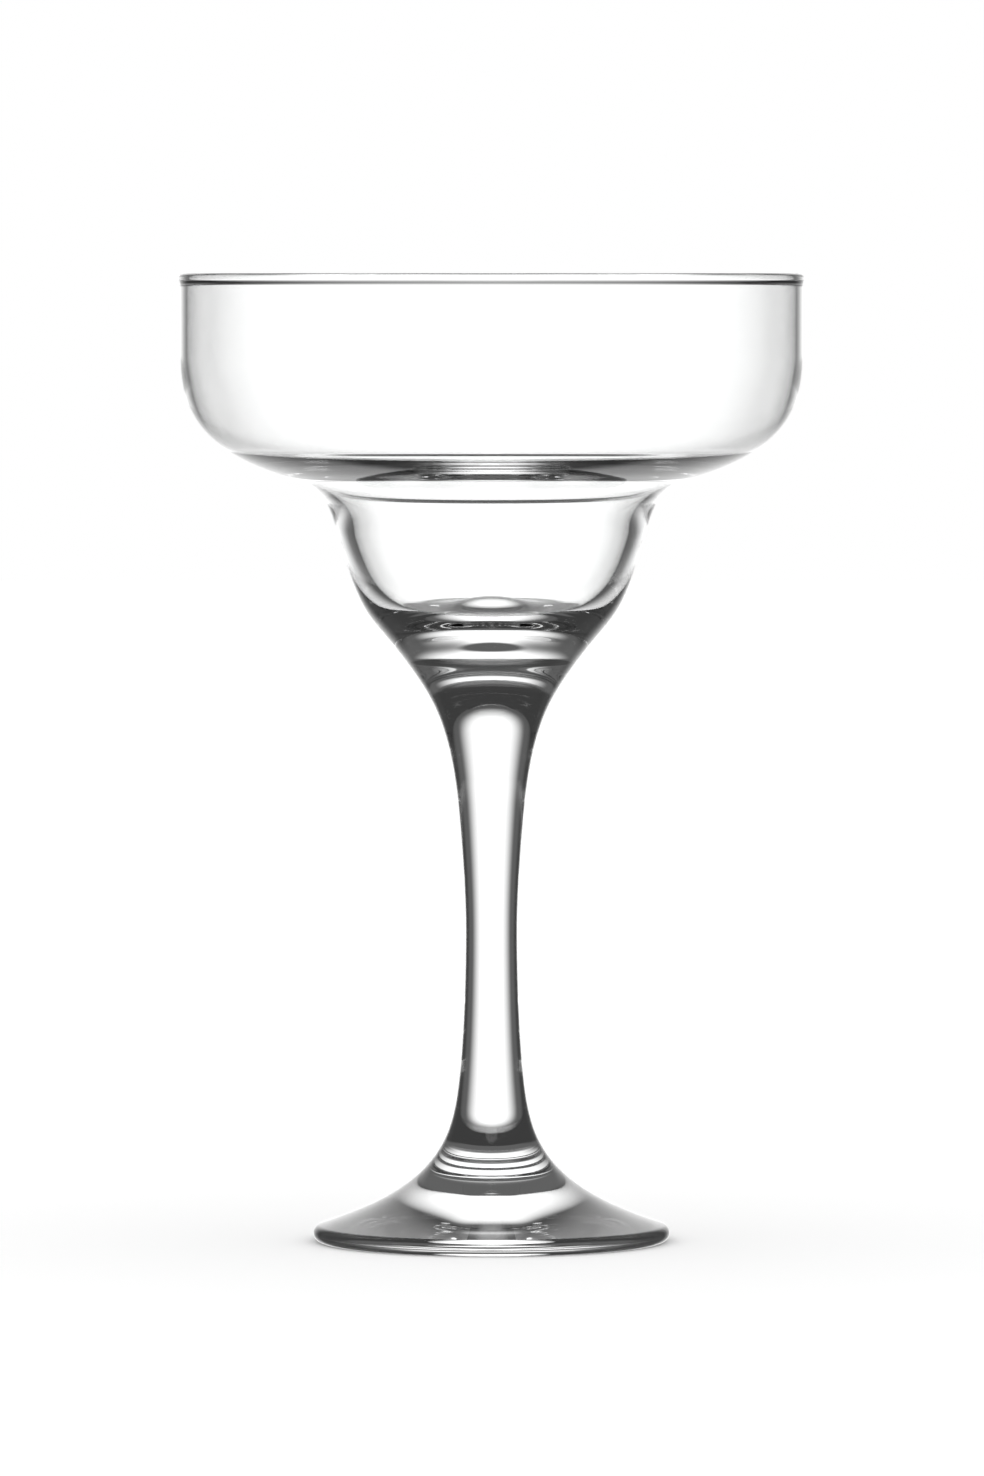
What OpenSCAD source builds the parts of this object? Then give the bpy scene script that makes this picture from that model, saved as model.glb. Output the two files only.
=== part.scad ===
// Margarita glass: a wide basin over a small cup, on a drawn stem and a round foot.
// Millimetres, +Z up. The origin is the centre of the ring that the glass stands on.
// The three gathers of glass meet on flat welds, so each piece starts where the last one ends.

/* [Foot] */
// Diameter of the foot
foot_d = 63.4; // [57:0.2:70]
// Height of the foot, from the table to its weld with the stem
foot_h = 20; // [16:0.5:25]
// Thickness of the foot at its rounded edge
foot_edge_t = 3.1; // [2.6:0.1:3.8]
// Slope of the foot's top where it leaves the edge, in degrees
foot_slope = 18; // [14:1:22]
// Width of the flat ring that the glass stands on
rest_ring_w = 2; // [1.4:0.1:4]
// Rise of the hollow under the foot, at its centre
underside_rise = 3.5; // [2:0.1:5]

/* [Stem] */
// Length of the stem between its welds
stem_h = 78; // [62:1:94]
// Diameter at the waist, the thinnest place
stem_d = 9.1; // [8:0.1:11]
// Diameter of the weld with the foot
stem_foot_d = 15; // [13.5:0.1:17]
// Diameter of the weld with the bowl
stem_bowl_d = 23.3; // [21:0.1:26]

/* [Bowl] */
// Height of the cup, from its weld to the shoulder
cup_h = 38; // [34:0.5:44]
// Outside diameter of the cup where its side is straightest
cup_d = 52.4; // [48:0.2:58]
// Inside diameter of the cup, where its rounded bottom starts
cup_bore_d = 48.7; // [45:0.1:51]
// Thickness of the solid glass under the lowest ring of the cup's floor
cup_base_t = 12.6; // [11:0.2:16]
// Diameter of that lowest ring
cup_floor_d = 22.8; // [16:0.2:26]
// Rise of the floor's crown above the ring
cup_crown = 2.3; // [0.6:0.1:3.4]
// Height of the basin, from the shoulder to the rim
basin_h = 35.8; // [30:0.2:44]
// Outside diameter of the basin's upright wall
basin_d = 110.2; // [100:0.2:122]
// Thickness of the basin's upright wall
basin_wall_t = 1.2; // [0.9:0.1:1.5]
// Diameter of the cup's mouth, where its inside turns over into the basin
cup_mouth_d = 58.2; // [54:0.2:62]
// Height of the basin's floor over the outside of the shoulder
basin_floor_h = 3.6; // [3:0.1:4.6]
// Thickness of the rounded bead at the rim
bead_t = 1.8; // [1.5:0.1:2.2]

/* [Hidden] */
glass = [0.82, 0.86, 0.87, 0.5];
$fn = 96;

// Segments in each curved span and in each round of an outline
span_steps = 16;
round_steps = 10;

// Where each piece starts
stem_z = foot_h;
bowl_z = foot_h + stem_h;

// Headings of the outline, in degrees from the radius, where two pieces share a weld
foot_weld_heading = 112;
bowl_weld_heading = 57.5;

function polar(angle) = [cos(angle), sin(angle)];

// A station is a place that the outline passes, its heading there, and its two handles,
// behind and ahead, as shares of the straight way to the next station
function station(place, heading, back_share, ahead_share) =
    [place, heading, back_share, ahead_share];

function bezier(a, b, c, d, t) =
    pow(1 - t, 3) * a + 3 * pow(1 - t, 2) * t * b + 3 * (1 - t) * pow(t, 2) * c + pow(t, 3) * d;

function span(from, to) =
    let (reach = norm(to[0] - from[0]),
         leave = from[0] + from[3] * reach * polar(from[1]),
         arrive = to[0] - to[2] * reach * polar(to[1]))
    [for (i = [0:span_steps - 1]) bezier(from[0], leave, arrive, to[0], i / span_steps)];

// The outline through a list of stations, its last place included
function trace(stations) =
    [for (k = [0:len(stations) - 2]) each span(stations[k], stations[k + 1]),
     stations[len(stations) - 1][0]];

function arc(centre, radius, first, last) =
    [for (i = [0:round_steps]) centre + radius * polar(first + (last - first) * i / round_steps)];

// Foot: a spreading cone with a round edge, hollowed under, with a flat ring to stand on
module foot() {
    edge_r = foot_edge_t / 2;
    edge_centre = [foot_d / 2 - edge_r, edge_r];
    edge_top_angle = 90 - foot_slope;
    ring_inner_r = edge_centre[0] - rest_ring_w;
    top_start = edge_centre + edge_r * polar(edge_top_angle);
    underside = trace([
        station([0, underside_rise], 0, 0, 0.4),
        station([0.55 * ring_inner_r, 0.72 * underside_rise], -7, 0.33, 0.33),
        station([ring_inner_r, 0], -13, 0.33, 0)]);
    edge = arc(edge_centre, edge_r, -90, edge_top_angle);
    top = trace([
        station(top_start, 180 - foot_slope, 0, 0.62),
        station([stem_foot_d / 2, foot_h], foot_weld_heading, 0.21, 0)]);
    color(glass) rotate_extrude() polygon(concat(underside, edge, top, [[0, foot_h]]));
}

// Stem: drawn out to a waist, then flaring up to the bowl
module stem() {
    waist_share = 0.45;
    flare_share = 0.74;
    flare_r = stem_d / 2 + 0.19 * (stem_bowl_d - stem_d) / 2;
    side = trace([
        station([stem_foot_d / 2, 0], foot_weld_heading, 0, 0.22),
        station([stem_d / 2, waist_share * stem_h], 90, 0.06, 0.3),
        station([flare_r, flare_share * stem_h], 84.5, 0.33, 0.35),
        station([stem_bowl_d / 2, stem_h], bowl_weld_heading, 0.3, 0)]);
    color(glass) translate([0, 0, stem_z]) rotate_extrude()
        polygon(concat([[0, 0]], side, [[0, stem_h]]));
}

// Bowl: a thick-bottomed cup that opens over a shoulder into the wide basin
module bowl() {
    rim_z = cup_h + basin_h;
    wall_r = basin_d / 2;
    wall_start_z = cup_h + 0.59 * basin_h;
    cup_side_share = 0.63;
    shoulder_share = 0.39;
    cup_side_heading = 73.5;
    shoulder_heading = 18.5;
    bore_share = 0.747;
    mouth_share = 0.974;
    basin_floor_share = 0.476;
    cup_side = [cup_d / 2, cup_side_share * cup_h];
    shoulder = [cup_side[0] + shoulder_share * (wall_r - cup_side[0]), cup_h];
    outside = trace([
        station([stem_bowl_d / 2, 0], bowl_weld_heading, 0, 0.56),
        station(cup_side, cup_side_heading, 0.52, 0.61),
        station(shoulder, shoulder_heading, 0.5, 0.58),
        station([wall_r, wall_start_z], 90, 0.3, 0)]);
    bead_r = bead_t / 2;
    bead_proud = (bead_t - basin_wall_t) / 2;
    bead_centre = [wall_r + bead_proud - bead_r, rim_z - bead_r];
    bead = arc(bead_centre, bead_r, 0, 180);
    bead_foot_z = rim_z - 1.15 * bead_t;
    basin_floor_r = cup_side[0] + basin_floor_share * (wall_r - cup_side[0]);
    inside = trace([
        station([wall_r - basin_wall_t, wall_start_z], -90, 0, 0.14),
        station([basin_floor_r, cup_h + basin_floor_h], -168, 0.46, 0.46),
        station([cup_mouth_d / 2, mouth_share * cup_h], -138, 0.52, 0.32),
        station([cup_bore_d / 2, bore_share * cup_h], -103.3, 0.29, 0.51),
        station([cup_floor_d / 2, cup_base_t], 178, 0.34, 0.41),
        station([0, cup_base_t + cup_crown], 180, 0.4, 0)]);
    color(glass) translate([0, 0, bowl_z]) rotate_extrude()
        polygon(concat([[0, 0]], outside, [[wall_r, bead_foot_z]], bead,
                       [[wall_r - basin_wall_t, bead_foot_z]], inside));
}

foot();
stem();
bowl();
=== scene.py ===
import math
from bisect import bisect

import bpy
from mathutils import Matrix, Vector, kdtree


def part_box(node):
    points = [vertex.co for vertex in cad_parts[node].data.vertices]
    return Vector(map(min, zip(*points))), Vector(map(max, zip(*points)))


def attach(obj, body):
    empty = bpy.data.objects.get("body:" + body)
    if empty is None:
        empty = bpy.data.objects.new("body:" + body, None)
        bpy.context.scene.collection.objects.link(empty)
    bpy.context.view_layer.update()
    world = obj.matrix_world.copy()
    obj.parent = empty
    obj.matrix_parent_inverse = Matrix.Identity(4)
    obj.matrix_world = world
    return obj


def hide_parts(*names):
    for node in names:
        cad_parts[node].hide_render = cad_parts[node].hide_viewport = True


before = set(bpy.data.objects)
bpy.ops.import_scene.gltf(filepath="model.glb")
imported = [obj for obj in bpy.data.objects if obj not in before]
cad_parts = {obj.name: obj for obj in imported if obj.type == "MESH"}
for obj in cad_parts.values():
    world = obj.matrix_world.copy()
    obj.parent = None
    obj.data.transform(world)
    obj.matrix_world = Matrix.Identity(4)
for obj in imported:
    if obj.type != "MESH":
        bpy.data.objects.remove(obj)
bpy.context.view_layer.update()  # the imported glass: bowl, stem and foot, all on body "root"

mm = 0.001
samePoint = 1e-7    # metres: points closer than this are one
sameLevel = 1e-6    # metres: the flat discs at the welds are this flat

# The camera comes first: a long lens level with the rim, tilted down a little
shot = {
    "imageHeight": 1476,
    "pixelsPerMm": 5.643,      # at the glass's axis
    "distance": 1861 * mm,     # from the lens to the axis
    "height": 171.75 * mm,     # level with the rim
    "rimRow": 273.5,           # the picture row that the lens is level with
    "sensorHeight": 36,
    "aside": 0.09 * mm,        # the glass stands half a pixel left of the middle
    "clipEnd": 50,
}


def placeCamera(shot):
    focalPixels = shot["pixelsPerMm"] * shot["distance"] / mm
    tilt = math.atan((shot["imageHeight"] / 2 - shot["rimRow"]) / focalPixels)
    data = bpy.data.cameras.new("camera")
    data.sensor_fit = "VERTICAL"
    data.sensor_height = shot["sensorHeight"]
    data.lens = shot["sensorHeight"] * focalPixels / shot["imageHeight"]
    data.clip_end = shot["clipEnd"]
    camera = bpy.data.objects.new("camera", data)
    camera.location = (shot["aside"], -shot["distance"], shot["height"])
    camera.rotation_euler = (math.pi / 2 - tilt, 0, 0)
    bpy.context.collection.objects.link(camera)
    bpy.context.scene.camera = camera


placeCamera(shot)
print("camera placed")


# Shader maths on sockets: each expression adds its Math nodes
class Value:
    def __init__(self, tree, socket):
        self.tree = tree
        self.socket = socket

    def math(self, operation, *others):
        terms = dict(enumerate((self,) + others))
        return self.tree.node("ShaderNodeMath", {"operation": operation}, terms)

    def __add__(self, other):
        return self.math("ADD", other)

    __radd__ = __add__

    def __mul__(self, other):
        return self.math("MULTIPLY", other)

    __rmul__ = __mul__

    def __sub__(self, other):
        return self.math("SUBTRACT", other)

    def __rsub__(self, other):
        return (self * -1.0) + other

    def __truediv__(self, other):
        return self.math("DIVIDE", other)

    def size(self):
        return self.math("ABSOLUTE")

    def rise(self, centre, softness):
        # 0 well below the centre and 1 well above it
        return self.tree.node(
            "ShaderNodeMapRange",
            {"interpolation_type": "SMOOTHSTEP"},
            {"Value": self, "From Min": centre - softness, "From Max": centre + softness},
        )

    def within(self, half, softness):
        return 1 - self.size().rise(half, softness)


class Tree:
    def __init__(self, nodeTree):
        self.nodeTree = nodeTree

    # Adds one node: its settings first, then its sockets' values or links; gives one output
    def node(self, kind, settings=None, sockets=None, output=0):
        made = self.nodeTree.nodes.new(kind)
        for name, value in (settings or {}).items():
            setattr(made, name, value)
        for key, value in (sockets or {}).items():
            if isinstance(value, Value):
                self.nodeTree.links.new(value.socket, made.inputs[key])
            else:
                made.inputs[key].default_value = value
        return Value(self, made.outputs[output]) if len(made.outputs) else made

    def output(self, value, name):
        return Value(self, value.socket.node.outputs[name])


def newMaterial(name):
    material = bpy.data.materials.new(name)
    material.use_nodes = True
    material.node_tree.nodes.clear()
    return material, Tree(material.node_tree)


# Clear soda-lime glass. Its surface is fire-polished, but never quite flat
glassFinish = {
    "ior": 1.52,
    "tint": (0.995, 0.998, 0.997, 1),
    "roughness": 0.0,
    "waveDetail": 2.0,
    "waveRoughness": 0.4,
}

# A round pip in a few of the cells, like the seeds and dust that clear glass shows
specks = {
    "spacing": 3.2 * mm,
    "radius": 0.14 * mm,
    "depth": 0.012 * mm,
    "sharpness": 0.001,
}

# How each piece was worked shows in its waves: drawn along the stem, turned round the bowl.
# Waves are counted per metre along x, y and z, and the share is of the cells that hold a speck
pieceGlass = {
    "foot": {"name": "foot_glass_pressed", "waves": (120, 120, 60), "depth": 3e-8, "share": 0.12},
    "stem": {"name": "stem_glass_drawn", "waves": (300, 300, 20), "depth": 3e-8, "share": 0.05},
    "bowl": {"name": "bowl_glass_blown", "waves": (30, 30, 160), "depth": 1e-7, "share": 0.08},
}


def glassMaterial(own, finish, specks):
    material, tree = newMaterial(own["name"])
    place = tree.node("ShaderNodeTexCoord", output="Object")
    stretched = tree.node("ShaderNodeMapping", sockets={"Vector": place, "Scale": own["waves"]})
    ripple = tree.node("ShaderNodeTexNoise", sockets={
        "Vector": stretched, "Scale": 1.0,
        "Detail": finish["waveDetail"], "Roughness": finish["waveRoughness"]})
    waved = tree.node("ShaderNodeBump", sockets={
        "Strength": 1.0, "Distance": own["depth"], "Height": ripple})
    cells = tree.node("ShaderNodeTexVoronoi", sockets={
        "Vector": place, "Scale": 1 / specks["spacing"]})
    chance = tree.node("ShaderNodeSeparateColor", sockets={0: tree.output(cells, "Color")})
    reach = specks["radius"] / specks["spacing"]
    chosen = chance.rise(1 - own["share"], specks["sharpness"])
    pip = cells.within(reach / 2, reach / 2) * chosen
    bump = tree.node("ShaderNodeBump", sockets={
        "Strength": 1.0, "Distance": specks["depth"], "Height": pip, "Normal": waved})
    shader = tree.node("ShaderNodeBsdfPrincipled", sockets={
        "Base Color": finish["tint"],
        "Roughness": finish["roughness"],
        "IOR": finish["ior"],
        "Transmission Weight": 1.0,
        "Normal": bump,
    })
    tree.node("ShaderNodeOutputMaterial", sockets={"Surface": shader})
    return material


def weldMaterial():
    # Inside the glass there is nothing to see where two gathers meet
    material, tree = newMaterial("weld_inside_glass")
    clear = tree.node("ShaderNodeBsdfTransparent", sockets={"Color": (1, 1, 1, 1)})
    tree.node("ShaderNodeOutputMaterial", sockets={"Surface": clear})
    return material


def polar(angle):
    return Vector((math.cos(math.radians(angle)), math.sin(math.radians(angle))))


# A station is a place (radius, height) in mm, a heading in degrees from the radius, and its
# handles behind and ahead as shares of the straight way to the next station. An outline is
# a list of rows, each a place and the way that the outline takes there
def span(start, end, steps):
    a, d = Vector(start[0]), Vector(end[0])
    reach = (d - a).length
    b = a + polar(start[1]) * reach * start[3]
    c = d - polar(end[1]) * reach * end[2]
    rows = []
    for i in range(steps):
        t = i / steps
        u = 1 - t
        place = a * u ** 3 + b * 3 * t * u ** 2 + c * 3 * t * t * u + d * t ** 3
        way = (b - a) * u * u + (c - b) * 2 * t * u + (d - c) * t * t
        rows.append((place, way.normalized()))
    return rows


def trace(stations, steps):
    rows = []
    for start, end in zip(stations, stations[1:]):
        rows += span(start, end, steps)
    return rows + [(Vector(stations[-1][0]), polar(stations[-1][1]))]


def arc(centre, radius, first, last, steps):
    angles = [first + (last - first) * i / steps for i in range(steps + 1)]
    return [(centre + polar(angle) * radius, polar(angle + 90)) for angle in angles]


def onAxis(height):
    return [(Vector((0, height)), polar(180))]


# The drawn side runs over three pieces, and its curve changes without a jump: each radius is a
# mean over the heights around it. A second mean shows what the first took away, to give it back
drawnSide = {
    "from": 10,
    "to": 116,
    "ends": 14,        # over which the easing fades in and out
    "reach": 3,        # spread of the mean, in mm of height
    "tail": 3,         # how many spreads away the mean still looks
    "samples": 12,
}


def meanRadii(heights, radii, drawn):
    eased = []
    for height, radius in zip(heights, radii):
        inside = min(height - drawn["from"], drawn["to"] - height) / drawn["ends"]
        inside = min(max(inside, 0), 1)
        reach = drawn["reach"] * inside * inside * (3 - 2 * inside)
        total = weights = 0
        for k in range(-drawn["samples"], drawn["samples"] + 1):
            offset = drawn["tail"] * k / drawn["samples"]
            level = height + offset * reach
            i = min(max(bisect(heights, level), 1), len(heights) - 1)
            share = (level - heights[i - 1]) / (heights[i] - heights[i - 1])
            weight = math.exp(-offset * offset / 2)
            total += weight * (radii[i - 1] + share * (radii[i] - radii[i - 1]))
            weights += weight
        eased.append(total / weights if reach > 0 else radius)
    return eased


def easedSide(side, drawn):
    heights = [place.y for place, way in side]
    radii = [place.x for place, way in side]
    once = meanRadii(heights, radii, drawn)
    twice = meanRadii(heights, once, drawn)
    rows = []
    for i, (place, way) in enumerate(side):
        if drawn["from"] < place.y < drawn["to"]:
            place = Vector((2 * once[i] - twice[i], place.y))
            near, far = (Vector((2 * once[k] - twice[k], heights[k])) for k in (i - 1, i + 1))
            way = (far - near).normalized()
        rows.append((place, way))
    return rows


# Lathe: the outline's points turned about the axis, as a grid of rows by turns
def latheTree():
    group = bpy.data.node_groups.new("lathe", "GeometryNodeTree")
    for name, kind in (("Outline", "NodeSocketGeometry"), ("Turns", "NodeSocketInt"),
                       ("Glass", "NodeSocketMaterial")):
        group.interface.new_socket(name, in_out="INPUT", socket_type=kind)
    group.interface.new_socket("Turned", in_out="OUTPUT", socket_type="NodeSocketGeometry")
    tree = Tree(group)
    given = group.nodes.new("NodeGroupInput")
    outline, turns, glass = (Value(tree, given.outputs[i]) for i in range(3))
    rows = tree.node("GeometryNodeAttributeDomainSize", {"component": "MESH"}, {
        "Geometry": outline})
    columns = turns + 1
    grid = tree.node("GeometryNodeMeshGrid", sockets={"Vertices X": rows, "Vertices Y": columns})
    index = tree.node("GeometryNodeInputIndex")
    overRounding = 0.0001    # a whole number of rows never rounds to the row below
    row = (index / columns + overRounding).math("FLOOR")
    column = index - row * columns
    perPoint = {"data_type": "FLOAT_VECTOR", "domain": "POINT"}
    place = tree.node("GeometryNodeSampleIndex", perPoint, {
        "Geometry": outline, "Value": tree.node("GeometryNodeInputPosition"), "Index": row})
    turned = tree.node("ShaderNodeVectorRotate", {"rotation_type": "Z_AXIS"}, {
        "Vector": place, "Angle": column / turns * math.tau})
    shaped = tree.node("GeometryNodeSetPosition", sockets={"Geometry": grid, "Position": turned})
    closed = tree.node("GeometryNodeMergeByDistance", sockets={
        "Geometry": shaped, "Distance": samePoint})
    outward = tree.node("GeometryNodeFlipFaces", sockets={"Mesh": closed})
    smooth = tree.node("GeometryNodeSetShadeSmooth", sockets={
        "Geometry": outward, "Shade Smooth": True})
    real = tree.node("GeometryNodeRealizeInstances", sockets={"Geometry": smooth})
    done = tree.node("GeometryNodeSetMaterial", sockets={"Geometry": real, "Material": glass})
    tree.node("NodeGroupOutput", sockets={0: done})
    return group


def turnPiece(name, outline, turns, material, lathe):
    # The outline is a chain of points in metres, turned into one closed plain mesh
    chain = bpy.data.meshes.new(name + "_outline")
    chain.from_pydata([(place.x * mm, 0, place.y * mm) for place, way in outline],
                      [(i, i + 1) for i in range(len(outline) - 1)], [])
    raw = bpy.data.objects.new(name + "_outline", chain)
    bpy.context.collection.objects.link(raw)
    modifier = raw.modifiers.new("lathe", "NODES")
    modifier.node_group = lathe
    identifiers = {socket.name: socket.identifier for socket in lathe.interface.items_tree
                   if socket.in_out == "INPUT"}
    modifier[identifiers["Turns"]] = turns
    modifier[identifiers["Glass"]] = material
    bpy.context.view_layer.update()
    evaluated = raw.evaluated_get(bpy.context.evaluated_depsgraph_get())
    mesh = bpy.data.meshes.new_from_object(evaluated)
    mesh.name = name
    # The glass becomes the mesh's one material, in its first slot
    mesh.materials.clear()
    mesh.materials.append(material)
    for face in mesh.polygons:
        face.material_index = 0
    piece = bpy.data.objects.new(name, mesh)
    bpy.context.collection.objects.link(piece)
    bpy.data.objects.remove(raw)
    return piece


def hideWelds(piece, heights, weld):
    # The flat disc where two pieces meet is inside the glass
    mesh = piece.data
    mesh.materials.append(weld)
    weldSlot = len(mesh.materials) - 1
    for face in mesh.polygons:
        levels = [mesh.vertices[i].co.z for i in face.vertices]
        for height in heights:
            if max(abs(level - height * mm) for level in levels) < sameLevel:
                face.material_index = weldSlot
                face.use_smooth = False


def trueNormals(piece, outline):
    # Glass bends light by its normals, so each ring takes the outline's own, also at the welds
    tree = kdtree.KDTree(len(outline))
    for i, (place, way) in enumerate(outline):
        tree.insert((place.x * mm, place.y * mm, 0), i)
    tree.balance()
    normals = []
    for vertex in piece.data.vertices:
        x, y, z = vertex.co
        radius = math.hypot(x, y)
        way = outline[tree.find((radius, z, 0))[1]][1]
        outward = Vector((x, y)).normalized() if radius > samePoint else Vector((0, 0))
        normals.append((outward.x * way.y, outward.y * way.y, -way.x))
    piece.data.normals_split_custom_set_from_vertices(normals)


def dress(piece, node):
    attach(piece, "root")
    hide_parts(node)
    print(piece.name, "made with", len(piece.data.polygons), "faces")


def topOf(node):
    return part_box(node)[1].z / mm


def radiusOf(node):
    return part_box(node)[1].x / mm


turns = 240    # faces round each ring
footTop = topOf("foot")
stemTop = topOf("stem")
rim = topOf("bowl")

# Foot: a spreading cone with a round edge, hollowed under
footShape = {
    "underside": [                          # stations from the axis out, heights above the table
        ((0, 1.47), 0, 0, 0.29),
        ((3.92, 1.09), -5, 0.39, 0.3),
        ((19.5, 0.15), -9.1, 0.09, 0.22),
        ((23.04, 0), -1.1, 0.25, 0),        # inside of the ring that it stands on
    ],
    "edgeThickness": 3.04,
    "edgeSteps": 20,
    "slope": 18,                            # of the top, where it leaves the edge
    "slopeHandle": 0.62,
    "weldRadius": 7.5,
    "weldHeading": 112,
    "weldHandle": 0.21,
    "steps": 40,
}


def footOutline(shape):
    edge = shape["edgeThickness"] / 2
    centre = Vector((radiusOf("foot") - edge, edge))
    under = trace(shape["underside"], shape["steps"])
    rounded = arc(centre, edge, -90, 90 - shape["slope"], shape["edgeSteps"])
    top = trace([
        (rounded[-1][0], 180 - shape["slope"], 0, shape["slopeHandle"]),
        ((shape["weldRadius"], footTop), shape["weldHeading"], shape["weldHandle"], 0),
    ], shape["steps"])
    return under + rounded, top[1:]


# Stem: drawn to a waist, flaring up to the bowl
stemShape = {
    "footHandle": 0.22,
    "waist": ((4.55, 0.45), 90, 0.06, 0.3),      # heights here are shares of the stem's length
    "flare": ((5.9, 0.74), 84.5, 0.33, 0.35),
    "topRadius": 11.65,
    "topHeading": 57.5,
    "topHandle": 0.3,
    "steps": 48,
}


def stemOutline(shape, foot):
    def along(station):
        (radius, share), heading, back, ahead = station
        return ((radius, footTop + share * (stemTop - footTop)), heading, back, ahead)

    return trace([
        ((foot["weldRadius"], footTop), foot["weldHeading"], 0, shape["footHandle"]),
        along(shape["waist"]),
        along(shape["flare"]),
        ((shape["topRadius"], stemTop), shape["topHeading"], shape["topHandle"], 0),
    ], shape["steps"])


# Bowl: a thick-bottomed cup that opens over a shoulder into the wide basin. Its heights are
# measured from its weld with the stem
bowlShape = {
    "weldHandle": 0.56,
    "cupSide": ((26.2, 23.94), 73.5, 0.52, 0.61),
    "shoulder": ((37.47, 38), 18.5, 0.5, 0.58),
    "wallRadius": 55.1,
    "wallThickness": 1.2,
    "wallStart": 59.12,
    "wallBack": 0.3,                        # handle of the outside, where it comes up to the wall
    "wallTurn": 0.28,                       # handle of the inside, where it leaves the wall
    "basinFloor": ((40.5, 40.6), 190, 0.46, 0.46),
    "mouth": ((28.9, 37.1), 224, 0.56, 0.28),
    "insideCup": ((24.35, 28.4), 256.7, 0.29, 0.51),
    "floorRing": ((11.4, 12.6), 178, 0.34, 0.41),
    "floorCrown": ((0, 14.9), 180, 0.4, 0),
    "steps": 36,
}

# Bead: the rounded thickening of the rim
beadShape = {
    "thickness": 1.8,
    "depth": 2.6,                           # from the rim down to the plain wall, in its radii
    "first": -10,                           # the angles between which it is round
    "last": 190,
    "steps": 24,
    "wallHandle": 0.4,
    "beadHandle": 0.3,
    "blendSteps": 6,
}


def bowlOutline(shape, beadShape, stem):
    def lifted(station):
        (radius, height), heading, back, ahead = station
        return ((radius, stemTop + height), heading, back, ahead)

    wall = shape["wallRadius"]
    inner = wall - shape["wallThickness"]
    outside = trace([
        lifted(((stem["topRadius"], 0), stem["topHeading"], 0, shape["weldHandle"])),
        lifted(shape["cupSide"]),
        lifted(shape["shoulder"]),
        lifted(((wall, shape["wallStart"]), 90, shape["wallBack"], 0)),
    ], shape["steps"])
    bead = beadShape["thickness"] / 2
    proud = bead - shape["wallThickness"] / 2
    centre = Vector((wall + proud - bead, rim - bead))
    beadFoot = rim - beadShape["depth"] * bead
    first, last = beadShape["first"], beadShape["last"]
    ahead, back, blend = beadShape["wallHandle"], beadShape["beadHandle"], beadShape["blendSteps"]
    lip = arc(centre, bead, first, last, beadShape["steps"])
    rise = span(((wall, beadFoot), 90, 0, ahead), (lip[0][0], first + 90, back, 0), blend)
    fall = span((lip[-1][0], last + 90, 0, back), ((inner, beadFoot), 270, ahead, 0), blend)
    wallFoot = [(Vector((inner, beadFoot)), polar(270))]
    inside = trace([
        lifted(((inner, shape["wallStart"]), 270, 0, shape["wallTurn"])),
        lifted(shape["basinFloor"]),
        lifted(shape["mouth"]),
        lifted(shape["insideCup"]),
        lifted(shape["floorRing"]),
        lifted(shape["floorCrown"]),
    ], shape["steps"])
    return outside, rise + lip + fall[1:] + wallFoot + inside


footUnder, footSide = footOutline(footShape)
stemSide = stemOutline(stemShape, footShape)
bowlSide, bowlInside = bowlOutline(bowlShape, beadShape, stemShape)
side = easedSide(footSide + stemSide[1:] + bowlSide[1:], drawnSide)
footEnd = len(footSide)
stemEnd = footEnd + len(stemSide) - 1
footRing = footUnder + side[:footEnd] + onAxis(footTop)
stemRing = onAxis(footTop) + side[footEnd - 1:stemEnd] + onAxis(stemTop)
bowlRing = onAxis(stemTop) + side[stemEnd - 1:] + bowlInside
print("outlines drawn")

lathe = latheTree()
weld = weldMaterial()
for name, node, outline, welds, slotName in (
        ("foot_clear", "foot", footRing, [footTop], "foot_glass"),
        ("stem_clear", "stem", stemRing, [footTop, stemTop], "stem_glass"),
        ("bowl_clear", "bowl", bowlRing, [stemTop], "bowl_glass")):
    glass = glassMaterial(pieceGlass[node], glassFinish, specks)
    piece = turnPiece(name, outline, turns, glass, lathe)
    hideWelds(piece, welds, weld)
    trueNormals(piece, outline)
    dress(piece, node)


# Studio: a white room. Through the glass and in its gloss, cards show instead: dark ones all
# round, and a backdrop with a bright soft-edged panel. They turn with the camera, as where a
# glass turns on a turntable and the studio stays behind it. Places and sizes are in mm
studio = {
    "half": 400,
    "floor": -600,
    "ceiling": 900,
    "dark": 0.045,           # glow of the dark cards
    "pivotHeight": 86,
    "backDistance": 240,
    "panel": {"glow": 1.25, "half": 110, "halfSoft": 75, "top": 252, "topSoft": 60,
              "foot": -126, "footSoft": 43},
    "halo": {"glow": 0.075, "half": 308, "soft": 90},
    "front": {"glow": 1.0, "height": 315, "clear": 90, "dark": 156},
}


def glowCard(name, corners, glow):
    # An unseen card whose light is worked out from the place on it
    mesh = bpy.data.meshes.new(name)
    mesh.from_pydata([tuple(c * mm for c in corner) for corner in corners], [], [(0, 1, 2, 3)])
    card = bpy.data.objects.new(name, mesh)
    bpy.context.collection.objects.link(card)
    material, tree = newMaterial(name)
    place = tree.node("ShaderNodeTexCoord", output="Object")
    axes = tree.node("ShaderNodeSeparateXYZ", sockets={0: place})
    x, y, z = (tree.output(axes, axis) for axis in "XYZ")
    light = tree.node("ShaderNodeEmission", sockets={"Strength": glow(x, y, z)})
    tree.node("ShaderNodeOutputMaterial", sockets={"Surface": light})
    mesh.materials.append(material)
    card.visible_camera = False
    card.visible_shadow = False
    card.visible_diffuse = False
    return card


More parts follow.
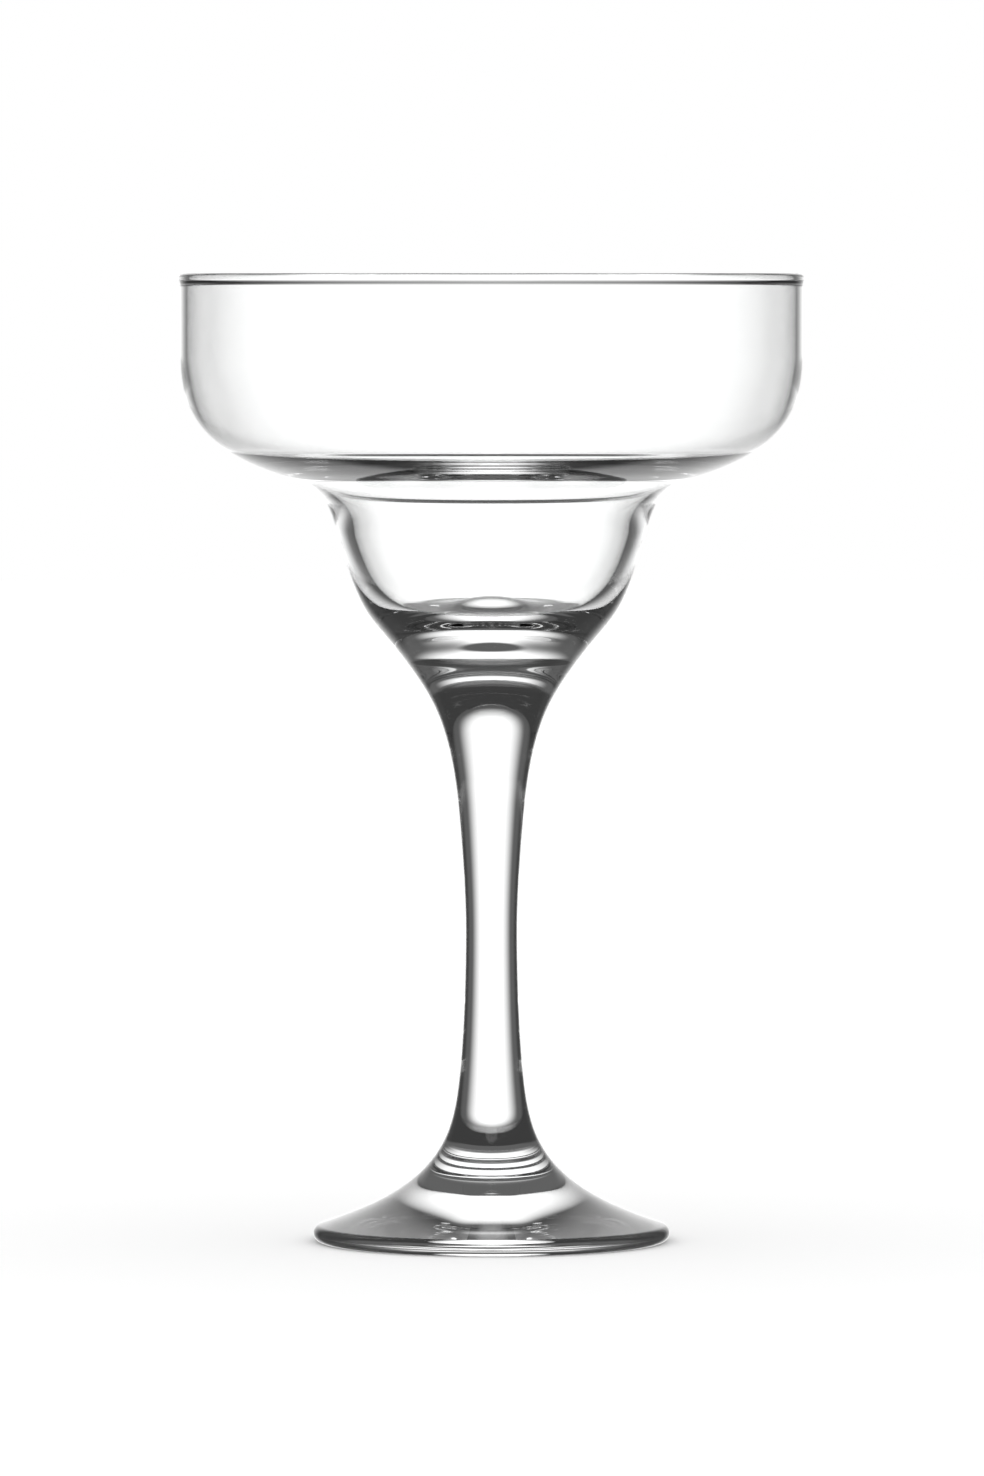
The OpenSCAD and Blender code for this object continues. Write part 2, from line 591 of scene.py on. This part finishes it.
def backGlow(x, y, z):
    panel, halo = studio["panel"], studio["halo"]
    across = x.within(panel["half"] * mm, panel["halfSoft"] * mm)
    below = 1 - z.rise(panel["top"] * mm, panel["topSoft"] * mm)
    above = z.rise(panel["foot"] * mm, panel["footSoft"] * mm)
    around = x.within(halo["half"] * mm, halo["soft"] * mm)
    return across * below * above * panel["glow"] + around * halo["glow"] + studio["dark"]


def frontGlow(x, y, z):
    front = studio["front"]
    up = z - front["height"] * mm
    away = (x * x + up * up).math("SQRT")
    middle = (front["clear"] + front["dark"]) / 2
    soft = front["dark"] - middle
    return (1 - away.rise(middle * mm, soft * mm)) * front["glow"] + studio["dark"]


def darkGlow(x, y, z):
    return studio["dark"]


def buildStudio(room):
    turntable = bpy.data.objects.new("studio_turn", None)
    turntable.location = (0, 0, room["pivotHeight"] * mm)
    bpy.context.collection.objects.link(turntable)
    follow = turntable.constraints.new("COPY_ROTATION")
    follow.target = bpy.context.scene.camera
    bpy.context.view_layer.update()
    half, low, high, back = room["half"], room["floor"], room["ceiling"], room["backDistance"]

    def level(z):
        return [(-half, -half, z), (half, -half, z), (half, back, z), (-half, back, z)]

    def across(y):
        return [(-half, y, low), (half, y, low), (half, y, high), (-half, y, high)]

    def along(x):
        return [(x, -half, low), (x, back, low), (x, back, high), (x, -half, high)]

    for name, corners, glow in (
            ("card_back", across(back), backGlow),
            ("card_front", across(-half), frontGlow),
            ("card_roof", level(high), darkGlow),
            ("card_under", level(low), darkGlow),
            ("card_left", along(-half), darkGlow),
            ("card_right", along(half), darkGlow)):
        card = glowCard(name, corners, glow)
        card.parent = turntable
        card.matrix_parent_inverse = turntable.matrix_world.inverted()


# Floor: plain white, with the glass's soft shadow on it. Sizes are in mm
table = {
    "half": 4000,
    "colour": (1.0, 1.0, 1.0, 1),
    "lift": 0.07,      # a glow of its own, which keeps the shadow faint
    "drop": 0.02,      # below the foot, so that the two don't share a plane
}


def layFloor(table):
    h, z = table["half"] * mm, -table["drop"] * mm
    mesh = bpy.data.meshes.new("floor")
    mesh.from_pydata([(-h, -h, z), (h, -h, z), (h, h, z), (-h, h, z)], [], [(0, 1, 2, 3)])
    floor = bpy.data.objects.new("floor", mesh)
    bpy.context.collection.objects.link(floor)
    material, tree = newMaterial("floor_white")
    paper = tree.node("ShaderNodeBsdfDiffuse", sockets={"Color": table["colour"]})
    lift = tree.node("ShaderNodeEmission", sockets={"Strength": table["lift"]})
    both = tree.node("ShaderNodeAddShader", sockets={0: paper, 1: lift})
    tree.node("ShaderNodeOutputMaterial", sockets={"Surface": both})
    mesh.materials.append(material)
    floor.visible_transmission = False
    floor.visible_glossy = False


def whiteRoom():
    world = bpy.data.worlds.new("white_room")
    world.use_nodes = True
    world.node_tree.nodes.clear()
    tree = Tree(world.node_tree)
    light = tree.node("ShaderNodeBackground", sockets={"Color": (1, 1, 1, 1), "Strength": 1.0})
    tree.node("ShaderNodeOutputWorld", sockets={"Surface": light})
    bpy.context.scene.world = world


# Light turns many times inside thick curved glass
bounces = {"total": 24, "transmission": 24, "glossy": 16, "transparent": 32}

buildStudio(studio)
layFloor(table)
whiteRoom()
bpy.context.scene.view_settings.view_transform = "Standard"
cycles = bpy.context.scene.cycles
cycles.max_bounces = bounces["total"]
cycles.transmission_bounces = bounces["transmission"]
cycles.glossy_bounces = bounces["glossy"]
cycles.transparent_max_bounces = bounces["transparent"]
print("studio built")
